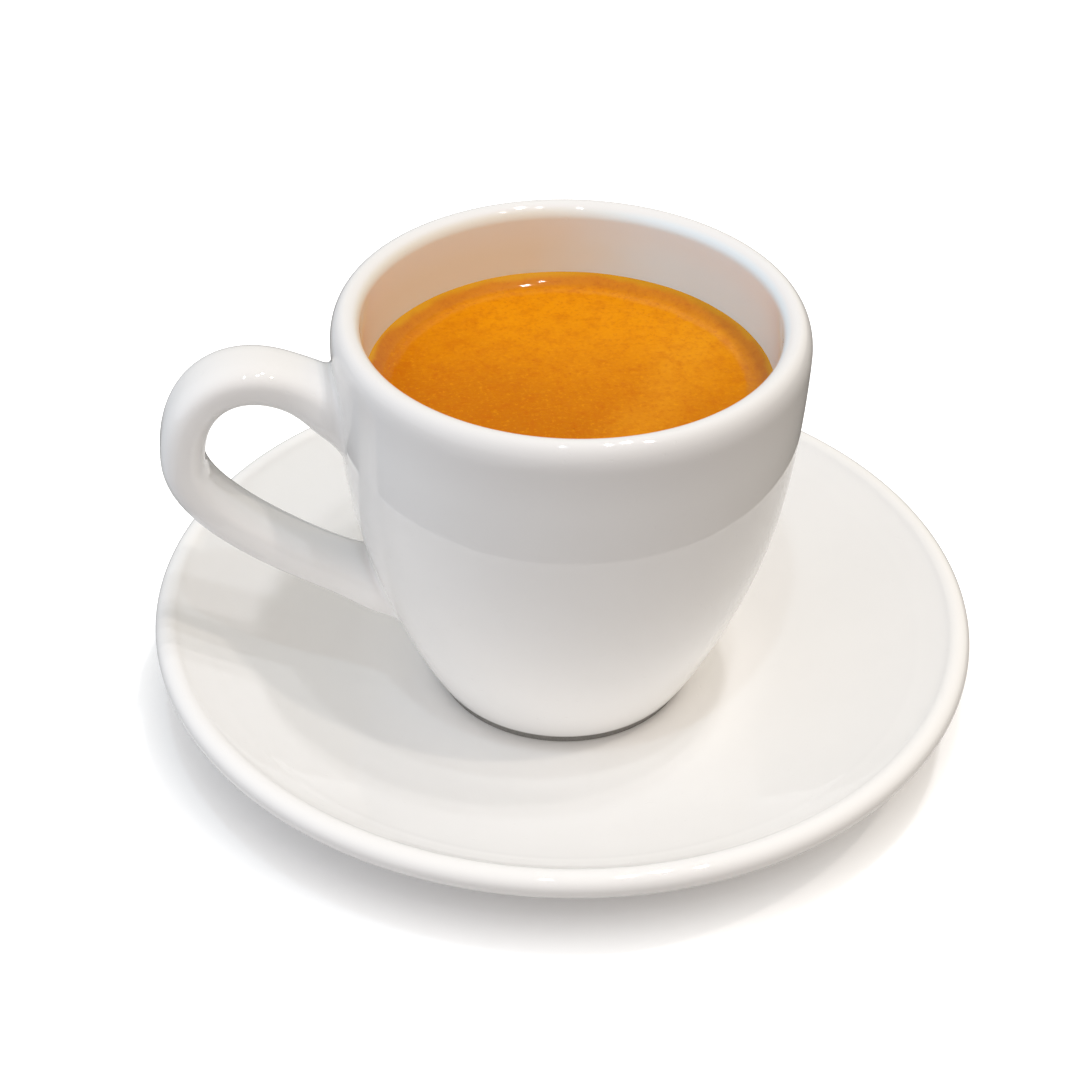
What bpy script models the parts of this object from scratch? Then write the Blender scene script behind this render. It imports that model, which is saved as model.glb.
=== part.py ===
"""An espresso in a thick white porcelain cup, on its saucer.

The origin is the centre of the saucer's foot, on the table. +Z is up, and the cup's handle
points along -X. The cup with its handle, the saucer and the coffee are one solid each.
"""

import math

import bmesh
import bpy
from mathutils import Vector
from mathutils.geometry import interpolate_bezier

# Clearance between pieces that touch, in metres like every length here
GAP = 0.0003

# Rounding of both unglazed foot rings
FOOT_ROUND = 0.0003

# Saucer
SAUCER_RADIUS = 0.060
SAUCER_WELL_RADIUS = 0.022
SAUCER_WELL_HEIGHT = 0.0055
SAUCER_THICKNESS = 0.0048
SAUCER_LIP_ROUND = 0.0019
SAUCER_LIP_HEIGHT = 0.0184
SAUCER_LIP_STEP = 0.0010
SAUCER_DISH_CURVE = 1.6
SAUCER_LIP_UNDERCUT = math.radians(62)
SAUCER_FOOT_RADIUS = 0.033
SAUCER_FOOT_WIDTH = 0.0028
SAUCER_RECESS_HEIGHT = 0.0015
SAUCER_STEPS = 56

# Cup body, with heights above the cup's own foot
CUP_HEIGHT = 0.06145
CUP_RADIUS = 0.0330
CUP_RIM_THICKNESS = 0.0041
CUP_BASE_RADIUS = 0.0188
CUP_BASE_HEIGHT = 0.0010
CUP_FLOOR_HEIGHT = 0.0080
CUP_OUTER_CURVE = 0.88
CUP_INNER_CURVE = 0.50
CUP_FOOT_RADIUS = 0.0175
CUP_FOOT_WIDTH = 0.0028
CUP_RECESS_HEIGHT = 0.0018
CUP_STEPS = 48

# Coffee
COFFEE_LEVEL = 0.0494
MENISCUS_WIDTH = 0.0028
MENISCUS_RISE = 0.0015

# Handle: an upper and a lower arc that meet at its outermost point
HANDLE_WIDTH = 0.0097
HANDLE_THICKNESS = 0.0062
HANDLE_SQUARENESS = 2.6
HANDLE_UPPER_ROOT = 0.0458
HANDLE_UPPER_ANGLE = math.radians(50)
HANDLE_UPPER_PULL = 0.0188
HANDLE_REACH = 0.05385
HANDLE_REACH_HEIGHT = 0.0422
HANDLE_REACH_PULL_UP = 0.0133
HANDLE_REACH_PULL_DOWN = 0.0108
HANDLE_LOWER_ROOT = 0.0149
HANDLE_LOWER_ANGLE = math.radians(24)
HANDLE_LOWER_PULL = 0.0060
HANDLE_UPPER_DEPTH = 0.0025
HANDLE_LOWER_DEPTH = 0.0050
HANDLE_FLARE = 0.20
HANDLE_FLARE_LENGTH = 0.0035
HANDLE_MITRE_LENGTH = 0.009
HANDLE_ARC_STATIONS = 12
HANDLE_SECTION_POINTS = 16

# How many points draw each stretch of a turned profile
WALL_POINTS = 12
LIP_POINTS = 7
DISH_POINTS = 8
BASE_CROWDING = 1.4

PORCELAIN_COLOUR = (0.86, 0.85, 0.82, 1.0)
COFFEE_COLOUR = (0.72, 0.28, 0.02, 1.0)

LIP_ROUND = CUP_RIM_THICKNESS / 2
LIP_CENTRE_HEIGHT = CUP_HEIGHT - LIP_ROUND
CUP_STAND_HEIGHT = SAUCER_WELL_HEIGHT + GAP


def clear_scene():
    for obj in list(bpy.data.objects):
        bpy.data.objects.remove(obj, do_unlink=True)


def new_collection(name):
    collection = bpy.data.collections.new(name)
    bpy.context.scene.collection.children.link(collection)
    return collection


def new_material(name, colour, roughness):
    material = bpy.data.materials.new(name)
    material.use_nodes = True
    shader = material.node_tree.nodes["Principled BSDF"]
    shader.inputs["Base Color"].default_value = colour
    shader.inputs["Roughness"].default_value = roughness
    shader.inputs["Metallic"].default_value = 0.0
    return material


def spread(first, last, count):
    """Count numbers from first to last, evenly spaced."""
    return [first + (last - first) * i / (count - 1) for i in range(count)]


def arc(centre, radius, start, end, count):
    """Points of a circular arc in the profile plane, with angles from +X towards +Z."""
    return [
        (centre[0] + radius * math.cos(angle), centre[1] + radius * math.sin(angle))
        for angle in spread(start, end, count)
    ]


def beside(points, distance):
    """A profile moved to its left by a distance, point by point along its normals."""
    moved = []
    for i, (x, z) in enumerate(points):
        before = points[max(i - 1, 0)]
        after = points[min(i + 1, len(points) - 1)]
        along = Vector((after[0] - before[0], after[1] - before[1])).normalized()
        moved.append((max(x - along.y * distance, 0.0), z + along.x * distance))
    return moved


def turned(name, profile, steps, material, collection):
    """A solid of revolution about Z. The profile ends on the axis, and its outer side runs down."""
    mesh = bpy.data.meshes.new(name)
    edges = [(i, i + 1) for i in range(len(profile) - 1)]
    mesh.from_pydata([(x, 0.0, z) for x, z in profile], edges, [])
    mesh.materials.append(material)
    obj = bpy.data.objects.new(name, mesh)
    collection.objects.link(obj)
    screw = obj.modifiers.new("Turn", "SCREW")
    screw.axis = "Z"
    screw.steps = steps
    screw.render_steps = steps
    screw.use_merge_vertices = True
    screw.merge_threshold = 0.00002
    screw.use_smooth_shade = True
    return obj


def outer_radius(height):
    """The cup's outside: it swells from the base and grows upright towards the rim."""
    share = (height - CUP_BASE_HEIGHT) / (LIP_CENTRE_HEIGHT - CUP_BASE_HEIGHT)
    share = min(max(share, 0.0), 1.0)
    swell = (1 - (1 - share) ** 2) ** CUP_OUTER_CURVE
    return CUP_BASE_RADIUS + (CUP_RADIUS - CUP_BASE_RADIUS) * swell


def inner_radius(height):
    """The cup's inside: an egg shape that leaves a thick base."""
    share = (height - CUP_FLOOR_HEIGHT) / (LIP_CENTRE_HEIGHT - CUP_FLOOR_HEIGHT)
    return (CUP_RADIUS - CUP_RIM_THICKNESS) * (1 - (1 - share) ** 2) ** CUP_INNER_CURVE


def inner_wall(top):
    """The inside from the middle of the floor up to a height, closer together on the floor."""
    span = math.acos(1 - (top - CUP_FLOOR_HEIGHT) / (LIP_CENTRE_HEIGHT - CUP_FLOOR_HEIGHT))
    points = []
    for angle in spread(0.0, span, WALL_POINTS):
        rise = (LIP_CENTRE_HEIGHT - CUP_FLOOR_HEIGHT) * (1 - math.cos(angle))
        height = CUP_FLOOR_HEIGHT + rise
        points.append((inner_radius(height), height))
    return points


def cup_profile():
    lip = arc((CUP_RADIUS - LIP_ROUND, LIP_CENTRE_HEIGHT), LIP_ROUND, math.pi, 0.0, LIP_POINTS)
    wall = []
    for share in spread(1.0, 0.0, WALL_POINTS)[1:]:
        height = CUP_BASE_HEIGHT + (LIP_CENTRE_HEIGHT - CUP_BASE_HEIGHT) * share**BASE_CROWDING
        wall.append((outer_radius(height), height))
    foot_inside = CUP_FOOT_RADIUS - CUP_FOOT_WIDTH
    foot = [
        (CUP_FOOT_RADIUS + FOOT_ROUND, CUP_BASE_HEIGHT / 2),
        (CUP_FOOT_RADIUS, FOOT_ROUND),
        (CUP_FOOT_RADIUS - FOOT_ROUND, 0.0),
        (foot_inside + FOOT_ROUND, 0.0),
        (foot_inside, FOOT_ROUND),
        (foot_inside - FOOT_ROUND, CUP_RECESS_HEIGHT),
        (0.0, CUP_RECESS_HEIGHT),
    ]
    return inner_wall(LIP_CENTRE_HEIGHT)[:-1] + lip + wall + foot


def coffee_profile():
    """From the middle of the surface out to the meniscus, then down the inside of the cup."""
    skin = beside(inner_wall(COFFEE_LEVEL + MENISCUS_RISE), GAP)
    edge = skin[-1][0]
    surface = [(0.0, COFFEE_LEVEL), (edge - MENISCUS_WIDTH, COFFEE_LEVEL)]
    return surface + list(reversed(skin[1:])) + [(0.0, CUP_FLOOR_HEIGHT + GAP)]


def dish_height(radius):
    """The saucer's upper side: a flat well, then a curve that steepens up to the lip."""
    lip_foot = SAUCER_RADIUS - 2 * SAUCER_LIP_ROUND
    top = SAUCER_LIP_HEIGHT - SAUCER_LIP_STEP
    share = max(radius - SAUCER_WELL_RADIUS, 0.0) / (lip_foot - SAUCER_WELL_RADIUS)
    return SAUCER_WELL_HEIGHT + (top - SAUCER_WELL_HEIGHT) * share**SAUCER_DISH_CURVE


def saucer_profile():
    lip_centre = (SAUCER_RADIUS - SAUCER_LIP_ROUND, SAUCER_LIP_HEIGHT - SAUCER_LIP_ROUND)
    lip_foot = SAUCER_RADIUS - 2 * SAUCER_LIP_ROUND
    lip_start = math.pi - math.asin(1 - SAUCER_LIP_STEP / SAUCER_LIP_ROUND)
    dish = [(r, dish_height(r)) for r in spread(SAUCER_WELL_RADIUS, lip_foot, DISH_POINTS)]
    lip = arc(lip_centre, SAUCER_LIP_ROUND, lip_start, -SAUCER_LIP_UNDERCUT, LIP_POINTS + 2)
    below = [
        (r, dish_height(r) - SAUCER_THICKNESS)
        for r in spread(lip_foot - SAUCER_LIP_ROUND, SAUCER_FOOT_RADIUS + GAP, DISH_POINTS)
    ]
    foot_inside = SAUCER_FOOT_RADIUS - SAUCER_FOOT_WIDTH
    foot = [
        (SAUCER_FOOT_RADIUS, FOOT_ROUND),
        (SAUCER_FOOT_RADIUS - FOOT_ROUND, 0.0),
        (foot_inside + FOOT_ROUND, 0.0),
        (foot_inside, FOOT_ROUND),
        (foot_inside - FOOT_ROUND, SAUCER_RECESS_HEIGHT),
        (0.0, SAUCER_RECESS_HEIGHT),
    ]
    return [(0.0, SAUCER_WELL_HEIGHT)] + dish + lip + below + foot


def handle_centreline():
    """Two Bezier arcs in the XZ plane: from the upper root out to the reach, and back in below."""
    upper_start = outer_radius(HANDLE_UPPER_ROOT) - HANDLE_UPPER_DEPTH
    lower_end = outer_radius(HANDLE_LOWER_ROOT) - HANDLE_LOWER_DEPTH
    upper_root = Vector((upper_start, 0, HANDLE_UPPER_ROOT))
    lower_root = Vector((lower_end, 0, HANDLE_LOWER_ROOT))
    reach = Vector((HANDLE_REACH, 0, HANDLE_REACH_HEIGHT))
    leaving = Vector((math.cos(HANDLE_UPPER_ANGLE), 0, math.sin(HANDLE_UPPER_ANGLE)))
    coming = Vector((math.cos(HANDLE_LOWER_ANGLE), 0, math.sin(HANDLE_LOWER_ANGLE)))
    up = Vector((0, 0, 1))
    upper = interpolate_bezier(
        upper_root,
        upper_root + leaving * HANDLE_UPPER_PULL,
        reach + up * HANDLE_REACH_PULL_UP,
        reach,
        HANDLE_ARC_STATIONS,
    )
    lower = interpolate_bezier(
        reach,
        reach - up * HANDLE_REACH_PULL_DOWN,
        lower_root + coming * HANDLE_LOWER_PULL,
        lower_root,
        HANDLE_ARC_STATIONS,
    )
    return list(upper) + list(lower)[1:]


def handle_section(centre, along):
    """One rounded ring. Near the wall it turns upright and flares, to meet the wall squarely."""
    clear = max(centre.x - outer_radius(centre.z), 0.0)
    across = Vector((along.z, 0, -along.x))
    upright = Vector((0, 0, math.copysign(1.0, across.z)))
    turn = max(1 - clear / HANDLE_MITRE_LENGTH, 0.0) ** 2
    slant = across.lerp(upright, turn).normalized()
    flare = 1 + HANDLE_FLARE * math.exp(-((clear / HANDLE_FLARE_LENGTH) ** 2))
    half_width = HANDLE_WIDTH / 2 * flare
    half_height = HANDLE_THICKNESS / 2 * flare / slant.dot(across)
    ring = []
    for i in range(HANDLE_SECTION_POINTS):
        angle = 2 * math.pi * i / HANDLE_SECTION_POINTS
        side, lift = (
            math.copysign(abs(part) ** (2 / HANDLE_SQUARENESS), part)
            for part in (math.cos(angle), math.sin(angle))
        )
        point = centre + slant * half_height * lift
        ring.append(Vector((-point.x, side * half_width, point.z)))
    return ring


def make_handle(collection):
    """The handle as a loft of unlike rings along its centreline, closed at both ends."""
    centres = handle_centreline()
    bm = bmesh.new()
    rings = []
    for i, centre in enumerate(centres):
        along = (centres[min(i + 1, len(centres) - 1)] - centres[max(i - 1, 0)]).normalized()
        rings.append([bm.verts.new(point) for point in handle_section(centre, along)])
    count = HANDLE_SECTION_POINTS
    for first, second in zip(rings, rings[1:]):
        for i in range(count):
            j = (i + 1) % count
            bm.faces.new((first[i], first[j], second[j], second[i]))
    bm.faces.new(rings[0])
    bm.faces.new(rings[-1])
    bmesh.ops.recalc_face_normals(bm, faces=bm.faces)
    mesh = bpy.data.meshes.new("cup_handle")
    bm.to_mesh(mesh)
    bm.free()
    handle = bpy.data.objects.new("cup_handle", mesh)
    collection.objects.link(handle)
    handle.hide_render = True
    handle.display_type = "WIRE"
    return handle


def make_saucer(material, collection):
    turned("saucer", saucer_profile(), SAUCER_STEPS, material, collection)


def make_cup(material, collection, helpers):
    """The turned body and the handle, fused into one solid and stood on the saucer's well."""
    cup = turned("cup", cup_profile(), CUP_STEPS, material, collection)
    cup.location.z = CUP_STAND_HEIGHT
    handle = make_handle(helpers)
    handle.parent = cup
    union = cup.modifiers.new("Handle", "BOOLEAN")
    union.operation = "UNION"
    union.solver = "EXACT"
    union.object = handle


def make_espresso(material, collection):
    espresso = turned("espresso", coffee_profile(), CUP_STEPS, material, collection)
    espresso.location.z = CUP_STAND_HEIGHT


def main():
    clear_scene()
    served = new_collection("espresso shot")
    helpers = new_collection("joined shapes")
    cup_glaze = new_material("cup porcelain", PORCELAIN_COLOUR, 0.12)
    saucer_glaze = new_material("saucer porcelain", PORCELAIN_COLOUR, 0.15)
    coffee = new_material("crema", COFFEE_COLOUR, 0.35)
    make_saucer(saucer_glaze, served)
    make_cup(cup_glaze, served, helpers)
    make_espresso(coffee, served)


main()
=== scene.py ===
# %% [markdown]
# # An espresso in a thick porcelain cup
# The object is a small white cup, filled with espresso, on its saucer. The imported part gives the
# three solids, and this script gives them their looks: fine surfaces, glaze, bare clay and crema.
# Every piece is a surface worked out with numpy on a grid, because a turned or drawn form is a
# short formula, and a formula is easier to change than a sculpted mesh.

# %% Load the fixed part
import math

import bpy
import numpy as np
from mathutils import Matrix, Vector


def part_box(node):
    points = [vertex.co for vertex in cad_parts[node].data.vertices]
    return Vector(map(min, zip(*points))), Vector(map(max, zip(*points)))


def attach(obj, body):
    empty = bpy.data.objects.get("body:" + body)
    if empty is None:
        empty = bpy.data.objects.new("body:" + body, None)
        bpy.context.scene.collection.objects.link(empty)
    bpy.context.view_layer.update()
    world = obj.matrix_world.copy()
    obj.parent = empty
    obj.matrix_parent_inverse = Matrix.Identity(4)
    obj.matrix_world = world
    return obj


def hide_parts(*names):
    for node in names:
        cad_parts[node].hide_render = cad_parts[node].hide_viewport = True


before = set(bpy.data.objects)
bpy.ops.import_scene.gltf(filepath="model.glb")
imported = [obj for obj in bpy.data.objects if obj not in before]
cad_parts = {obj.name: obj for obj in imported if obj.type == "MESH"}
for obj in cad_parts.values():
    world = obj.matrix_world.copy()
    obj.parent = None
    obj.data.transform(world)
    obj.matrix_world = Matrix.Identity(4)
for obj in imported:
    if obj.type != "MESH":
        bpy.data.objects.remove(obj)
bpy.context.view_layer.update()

MM = 0.001
SAUCER_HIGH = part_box("saucer")[1]
CUP_LOW, CUP_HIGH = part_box("cup")
print("saucer", round(2 * SAUCER_HIGH.x / MM, 1), "mm across, cup", round(CUP_HIGH.z / MM, 2), "mm high")

# %% [markdown]
# ## Turning a profile
# Cup, saucer and coffee are round, as clay is when it comes off a wheel. Blender's Screw modifier
# could turn a profile too. Working the grid out with numpy instead keeps every vertex in reach, so
# a surface can later be given relief by the same arrays.

# %% Tools for profiles
CLOSEST = 0.001 * MM


def rounded(start, corner, end, count):
    """A corner drawn soft: a quadratic Bezier, (1-t)^2 start + 2t(1-t) corner + t^2 end."""
    t = np.linspace(0.0, 1.0, count)[:, None]
    start, corner, end = (np.asarray(p, float) for p in (start, corner, end))
    return (1 - t) ** 2 * start + 2 * t * (1 - t) * corner + t**2 * end


def arc(centre, radius, start, end, count):
    """Points of a circle: centre + radius (cos a, sin a), for angles a from start to end."""
    angle = np.linspace(start, end, count)
    return np.asarray(centre) + radius * np.stack([np.cos(angle), np.sin(angle)], axis=1)


def chain(*stretches):
    """Stretches of a profile one after the other, without points closer than a micrometre."""
    points = np.concatenate([np.atleast_2d(s) for s in stretches])
    step = np.linalg.norm(np.diff(points, axis=0), axis=1)
    return points[np.concatenate([[True], step > CLOSEST])]


def grid_faces(rows, columns):
    """Quads of a grid whose columns close round: (i, j), (i, j+1), (i+1, j+1), (i+1, j)."""
    i, j = np.meshgrid(np.arange(rows - 1), np.arange(columns), indexing="ij")
    k = (j + 1) % columns
    here, after = i * columns, (i + 1) * columns
    return np.stack([here + j, here + k, after + k, after + j], axis=-1).reshape(-1, 4)


def fan_faces(ring, pole, outward):
    """Triangles from a ring of vertices to one pole vertex. outward False turns them round."""
    after = np.roll(ring, -1)
    fan = np.stack([ring, after, np.full_like(ring, pole)], axis=1)
    return fan if outward else fan[:, ::-1]


def build(name, points, quads, triangles):
    """A smooth mesh object at the origin, from one array of points and two arrays of faces."""
    mesh = bpy.data.meshes.new(name)
    mesh.from_pydata(points.tolist(), [], quads.tolist() + triangles.tolist())
    mesh.validate()
    mesh.polygons.foreach_set("use_smooth", np.ones(len(mesh.polygons), bool))
    mesh.update()
    piece = bpy.data.objects.new(name, mesh)
    bpy.context.scene.collection.objects.link(piece)
    print(name, len(mesh.vertices), "vertices", len(mesh.polygons), "faces")
    return piece


def turned(profile, steps):
    """Points and faces of a profile turned about Z.

    The profile starts and ends on the axis, where one pole vertex closes each end. A point (r, z)
    at angle a becomes (r cos a, r sin a, z). The profile's left side is inside the solid, so an
    outer wall runs down.
    """
    ring = profile[1:-1]
    angle = np.linspace(0.0, 2 * np.pi, steps, endpoint=False)
    radius = ring[:, 0][:, None]
    height = np.repeat(ring[:, 1][:, None], steps, axis=1)
    body = np.stack([radius * np.cos(angle), radius * np.sin(angle), height], axis=-1).reshape(-1, 3)
    poles = np.array([[0.0, 0.0, profile[0, 1]], [0.0, 0.0, profile[-1, 1]]])
    quads = grid_faces(len(ring), steps)[:, ::-1]
    first = np.arange(steps)
    last = first + (len(ring) - 1) * steps
    tris = np.concatenate([fan_faces(first, len(body), True), fan_faces(last, len(body) + 1, False)])
    return np.concatenate([body, poles]), quads, tris


# %% [markdown]
# ## The cup's body
# A café's cup is thick: it keeps a small drink warm. It swells from a narrow foot, stands upright
# at the rim, and its lip is a half circle inside that runs out slowly into the outer wall. Outside
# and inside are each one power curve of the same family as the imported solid's, so the two agree to
# about half a millimetre, and the finer grid takes the facets out of the reflections.

# %% Cup sizes
CUP_RADIUS = CUP_HIGH.y
CUP_STAND = CUP_LOW.z
CUP_HEIGHT = CUP_HIGH.z - CUP_LOW.z
RIM_THICKNESS = 4.1 * MM
BASE_RADIUS = 18.8 * MM
BASE_HEIGHT = 1.0 * MM
FLOOR_HEIGHT = 8.0 * MM
OUTER_CURVE = 0.88
BELLY = 0.50 * MM
BELLY_HEIGHT = 29.0 * MM
BELLY_SPREAD = 14.0 * MM
INNER_CURVE = 0.50
FOOT_RADIUS = 18.4 * MM
FOOT_WIDTH = 2.8 * MM
FOOT_REACH = 0.28 * MM
RECESS_HEIGHT = 1.8 * MM
LIP_ROUND = RIM_THICKNESS / 2
LIP_CENTRE_HEIGHT = CUP_HEIGHT - LIP_ROUND
LIP_DROP = 4.2 * MM
LIP_FULLNESS = 2.3
HEEL_HEIGHT = 2.2 * MM
HEEL_UNDER = 1.2 * MM
FOOT_ROUND = 0.2 * MM
CUP_STEPS = 320
# How many points draw each stretch of the profile
INNER_POINTS = 56
INNER_LIP_POINTS = 17
OUTER_LIP_POINTS = 28
WALL_POINTS = 60
HEEL_POINTS = 7
FOOT_POINTS = 5
SOLE_POINTS = 4
CEILING_POINTS = 6


def outer_radius(height):
    """The outside: base + (rim - base) (1 - (1 - s)^2)^0.88 + belly exp(-((h - 29 mm) / 14 mm)^2).

    s runs from 0 at the base to 1 at the lip. The belly, half a millimetre, keeps the upper wall
    more upright, which moves the line where the saucer's reflection ends.
    """
    share = np.clip((height - BASE_HEIGHT) / (LIP_CENTRE_HEIGHT - BASE_HEIGHT), 0.0, 1.0)
    belly = BELLY * np.exp(-(((height - BELLY_HEIGHT) / BELLY_SPREAD) ** 2))
    return BASE_RADIUS + (CUP_RADIUS - BASE_RADIUS) * (1 - (1 - share) ** 2) ** OUTER_CURVE + belly


def inner_radius(height):
    """The inside: (rim radius - wall) (1 - (1 - s)^2)^0.5, with s from 0 at the floor to 1 at the lip."""
    share = np.clip((height - FLOOR_HEIGHT) / (LIP_CENTRE_HEIGHT - FLOOR_HEIGHT), 0.0, 1.0)
    return (CUP_RADIUS - RIM_THICKNESS) * (1 - (1 - share) ** 2) ** INNER_CURVE


def inner_wall(top, count):
    """The inside from the middle of the floor up to a height, with points crowded on the floor."""
    span = math.acos(1 - (top - FLOOR_HEIGHT) / (LIP_CENTRE_HEIGHT - FLOOR_HEIGHT))
    height = FLOOR_HEIGHT + (LIP_CENTRE_HEIGHT - FLOOR_HEIGHT) * (1 - np.cos(np.linspace(0.0, span, count)))
    return np.stack([inner_radius(height), height], axis=1)


def outer_lip(count):
    """The lip's outer side: the wall less half the rim's thickness times 1 - (1 - u^2.3)^0.5.

    u runs from 1 at the top to 0 where the lip ends. A power above 2 lets the bend die out slowly,
    so that no line shows in the gloss.
    """
    turn = np.linspace(0.5 * np.pi, 0.0, count)
    up = np.sin(turn)
    height = CUP_HEIGHT - LIP_DROP + LIP_DROP * up
    return np.stack([outer_radius(height) - LIP_ROUND * (1 - np.sqrt(1 - up**LIP_FULLNESS)), height], axis=1)


def ceiling(inside, height):
    """The recess under a foot ring: its corner, drawn soft, and the ceiling in to the axis."""
    corner = rounded((inside, height / 2), (inside, height), (inside - height, height), CEILING_POINTS)
    return chain(corner, (0.0, height))


def cup_profile():
    """Inner wall, lip, outer wall, heel, bare foot ring and the recess under the foot."""
    inner = inner_wall(LIP_CENTRE_HEIGHT, INNER_POINTS)
    lip_centre = (CUP_RADIUS - LIP_ROUND, LIP_CENTRE_HEIGHT)
    inner_lip = arc(lip_centre, LIP_ROUND, np.pi, 0.5 * np.pi, INNER_LIP_POINTS)
    lip = chain(inner_lip[:-1], outer_lip(OUTER_LIP_POINTS))
    height = np.linspace(CUP_HEIGHT - LIP_DROP, HEEL_HEIGHT, WALL_POINTS)
    wall = np.stack([outer_radius(height), height], axis=1)
    edge = (outer_radius(HEEL_UNDER), HEEL_UNDER)
    corner = (edge[0] + FOOT_ROUND, edge[1] + FOOT_ROUND)
    heel = chain(rounded(wall[-1], corner, edge, HEEL_POINTS), (FOOT_RADIUS, HEEL_UNDER))
    inside = FOOT_RADIUS - FOOT_WIDTH
    side = (FOOT_RADIUS, FOOT_ROUND - FOOT_REACH)
    sole_start = (FOOT_RADIUS - FOOT_ROUND, -FOOT_REACH)
    foot = rounded(side, (FOOT_RADIUS, -FOOT_REACH), sole_start, FOOT_POINTS)
    sole = np.array([(inside + FOOT_ROUND, -FOOT_REACH)])
    recess = rounded(sole[0], (inside, -FOOT_REACH), (inside, side[1]), SOLE_POINTS)
    return chain(inner, lip, wall, heel, foot, sole, recess, ceiling(inside, RECESS_HEIGHT))


body_points, body_quads, body_tris = turned(cup_profile() + (0.0, CUP_STAND), CUP_STEPS)
lip_top = CUP_STAND + CUP_HEIGHT
print("cup body", len(body_points), "points, lip", round(lip_top / MM, 2), "mm above the table")

# %% [markdown]
# ## The handle
# The handle is a flattened strap that is bent to a loop and luted on with slip, which leaves a
# small fillet where it meets the wall. It is made here as a superellipse carried along two Bezier
# arcs. Sculpting or a voxel remesh would soften the joint as well, but would ruffle a glaze that
# is as smooth as glass. So each line of the strap is stopped short of the wall and led onto it by
# a curve that ends flat against it.

# %% Handle sizes
STRAP_WIDTH = 9.7 * MM
STRAP_THICKNESS = 6.2 * MM
STRAP_SQUARENESS = 2.8
STRAP_TAPER = 0.08
UPPER_ROOT = 45.8 * MM
UPPER_ANGLE = math.radians(50)
UPPER_PULL = 18.8 * MM
UPPER_DEPTH = 2.5 * MM
REACH = 53.85 * MM
REACH_HEIGHT = 42.2 * MM
REACH_PULL_UP = 13.3 * MM
REACH_PULL_DOWN = 11.4 * MM
LOWER_ROOT = 14.9 * MM
LOWER_ANGLE = math.radians(24)
LOWER_PULL = 6.0 * MM
LOWER_DEPTH = 5.0 * MM
FLARE = 0.20
FLARE_LENGTH = 3.5 * MM
UPPER_FILLET = 1.5 * MM
LOWER_FILLET = 1.2 * MM
SINK = 0.004 * MM
CAP_DEPTH = 1.2 * MM
STRAP_STATIONS = 150
FILLET_STATIONS = 12
STRAP_LINES = 72
# Where along the strap its two meetings with the wall are looked for, and how often that is halved
UPPER_SEARCH = (-0.12, 0.5)
LOWER_SEARCH = (2.4, 1.5)
HALVINGS = 40
SLOPE_STEP = 0.01 * MM


def bezier(points, t):
    """A cubic Bezier and its derivative, run on straight along its end tangents outside 0 to 1."""
    a, b, c, d = (np.asarray(p, float) for p in points)
    inside = np.clip(t, 0.0, 1.0)[..., None]
    beyond = t[..., None] - inside
    rest = 1 - inside
    place = rest**3 * a + 3 * inside * rest**2 * b + 3 * inside**2 * rest * c + inside**3 * d
    speed = 3 * (rest**2 * (b - a) + 2 * inside * rest * (c - b) + inside**2 * (d - c))
    return place + beyond * speed, speed


def centreline(s):
    """The strap's middle line in (x, z): s from 0 to 1 is the upper arc, from 1 to 2 the lower."""
    root = np.array([outer_radius(UPPER_ROOT) - UPPER_DEPTH, UPPER_ROOT])
    tail = np.array([outer_radius(LOWER_ROOT) - LOWER_DEPTH, LOWER_ROOT])
    reach = np.array([REACH, REACH_HEIGHT])
    leaving = np.array([math.cos(UPPER_ANGLE), math.sin(UPPER_ANGLE)])
    coming = np.array([math.cos(LOWER_ANGLE), math.sin(LOWER_ANGLE)])
    up = np.array([0.0, 1.0])
    upper = bezier((root, root + leaving * UPPER_PULL, reach + up * REACH_PULL_UP, reach), s)
    lower = bezier((reach, reach - up * REACH_PULL_DOWN, tail + coming * LOWER_PULL, tail), s - 1)
    first = (s < 1)[..., None]
    return np.where(first, upper[0], lower[0]), np.where(first, upper[1], lower[1])


def strap(s, angle):
    """A point of the strap's skin: middle line + across * thickness * sin' + Y * width * cos'.

    cos' and sin' are a superellipse's, the power 2/squareness of the circle's. Both half sizes grow
    by the flare near the wall, and the thickness shrinks by the taper along the lower arc.
    """
    centre, speed = centreline(s)
    along = speed / np.linalg.norm(speed, axis=-1, keepdims=True)
    across = np.stack([along[..., 1], -along[..., 0]], axis=-1)
    clear = np.maximum(centre[..., 0] - outer_radius(centre[..., 1]), 0.0)
    flare = 1 + FLARE * np.exp(-((clear / FLARE_LENGTH) ** 2))
    side, lift = (np.sign(f) * np.abs(f) ** (2 / STRAP_SQUARENESS) for f in (np.cos(angle), np.sin(angle)))
    thickness = STRAP_THICKNESS * (1 - STRAP_TAPER * np.clip(s - 1, 0.0, 1.0))
    flat = centre + across * (thickness / 2 * flare * lift)[..., None]
    return np.stack([flat[..., 0], STRAP_WIDTH / 2 * flare * side, flat[..., 1]], axis=-1)


def clearance(points):
    """How far points are outside the cup's wall, along the radius."""
    return np.hypot(points[..., 0], points[..., 1]) - outer_radius(points[..., 2])


def stop_at(distance, inside, outside, angle):
    """Where each line of the strap is this far from the wall, found by halving the interval."""
    low, high = np.full_like(angle, inside), np.full_like(angle, outside)
    for _ in range(HALVINGS):
        middle = (low + high) / 2
        near = clearance(strap(middle, angle)) < distance
        low, high = np.where(near, middle, low), np.where(near, high, middle)
    return (low + high) / 2


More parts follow.
